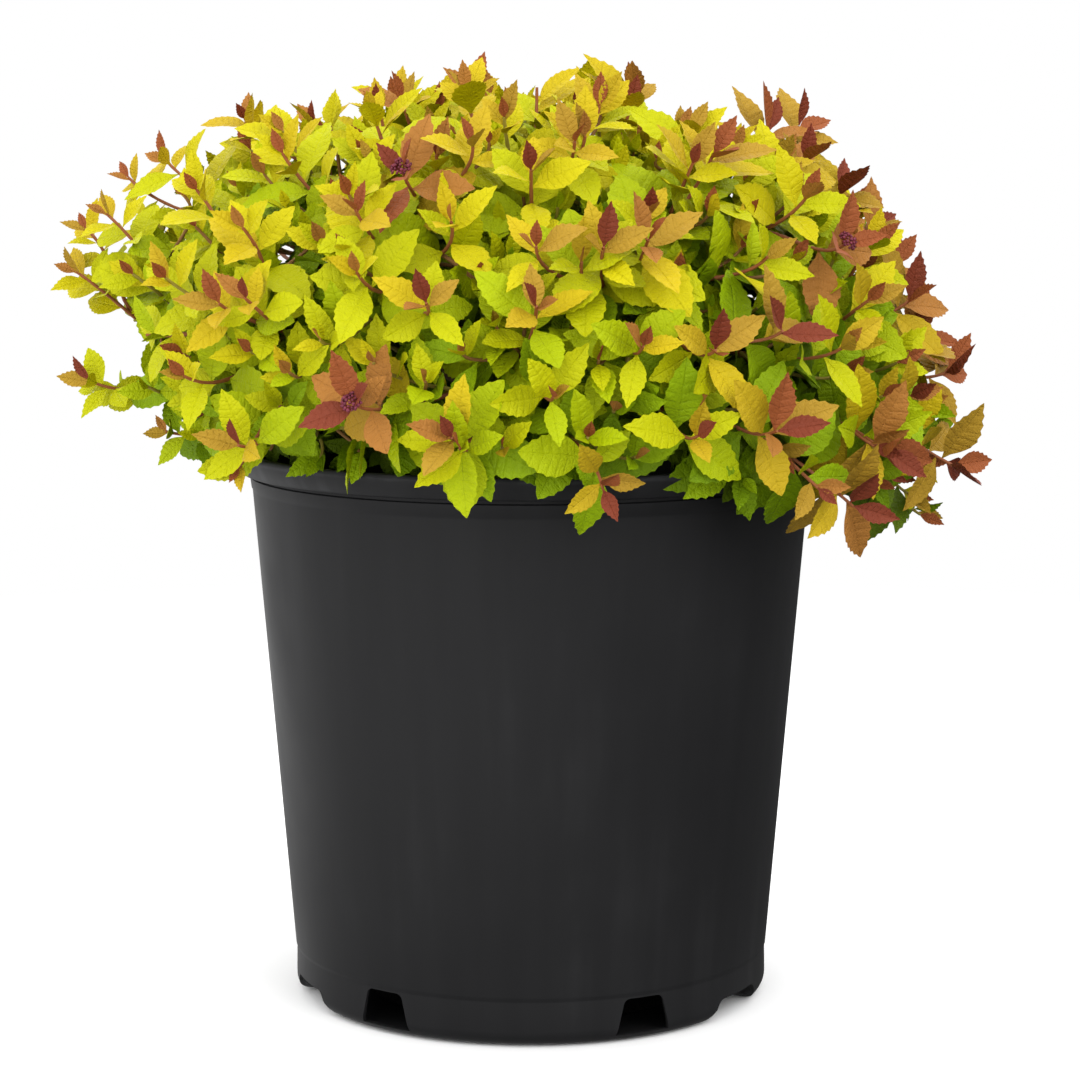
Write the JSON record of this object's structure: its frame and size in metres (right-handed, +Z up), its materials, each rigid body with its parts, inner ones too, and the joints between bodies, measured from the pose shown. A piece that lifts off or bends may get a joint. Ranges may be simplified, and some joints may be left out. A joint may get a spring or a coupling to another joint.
{
  "type": "potted spirea shrub",
  "caption": "Small mounded shrub with lime leaves and bronze-red shoot tips, standing in a round black nursery pot with drain holes round its foot.",
  "frame": {"origin": "centre of the pot's flat underside", "axes": "+Z up along the pot's axis, -Y towards the plant's front, +X to its right"},
  "size_m": [0.4052, 0.3552, 0.4046],
  "materials": {
    "pot": "satin",
    "potting_mix": "matte",
    "bark": "matte",
    "leaves": "satin"
  },
  "bodies": {
    "root": {"pot": "pot", "potting_mix": "potting_mix", "main_stem": "bark", "bough_01": "bark", "bough_02": "bark", "bough_03": "bark", "bough_04": "bark", "bough_05": "bark", "bough_06": "bark", "bough_07": "bark", "bough_08": "bark", "bough_09": "bark", "bough_10": "bark", "bough_11": "bark", "bough_12": "bark", "bough_13": "bark", "bough_14": "bark", "bough_15": "bark", "bough_16": "bark", "bough_17": "bark", "bough_18": "bark", "foliage_01": "leaves", "foliage_02": "leaves", "foliage_03": "leaves", "foliage_04": "leaves", "foliage_05": "leaves", "foliage_06": "leaves", "foliage_07": "leaves", "foliage_08": "leaves", "foliage_09": "leaves", "foliage_10": "leaves", "foliage_11": "leaves", "foliage_12": "leaves", "foliage_13": "leaves", "foliage_14": "leaves", "foliage_15": "leaves", "foliage_16": "leaves", "foliage_17": "leaves", "foliage_18": "leaves"}
  },
  "joints": []
}
